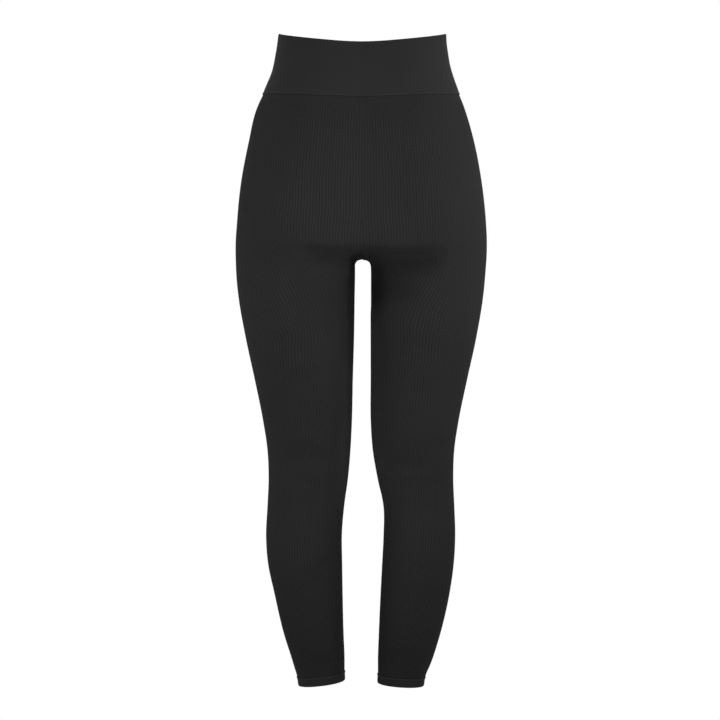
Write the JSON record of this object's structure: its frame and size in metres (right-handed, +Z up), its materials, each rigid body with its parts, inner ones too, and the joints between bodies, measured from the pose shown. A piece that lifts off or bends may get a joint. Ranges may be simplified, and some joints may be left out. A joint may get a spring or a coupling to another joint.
{
  "type": "leggings",
  "caption": "High-waisted leggings in fine rib knit, with a doubled waistband, a centre seam and a plain band at each ankle, hollow and filled out as if worn.",
  "frame": {"origin": "centre of the waist opening, level with its top edge at the sides", "axes": "+Z up the body, +X towards the wearer's right, +Y in front of them, so -Y is the back that shows"},
  "size_m": [0.3448, 0.2367, 0.8997],
  "materials": {
    "rib_knit": "matte black fine rib knit with a faint sheen",
    "plain_knit": "matte black smooth knit"
  },
  "bodies": {
    "root": {"waistband": "plain_knit", "leg_left": "rib_knit", "leg_right": "rib_knit", "hem_left": "plain_knit", "hem_right": "plain_knit"}
  },
  "joints": []
}
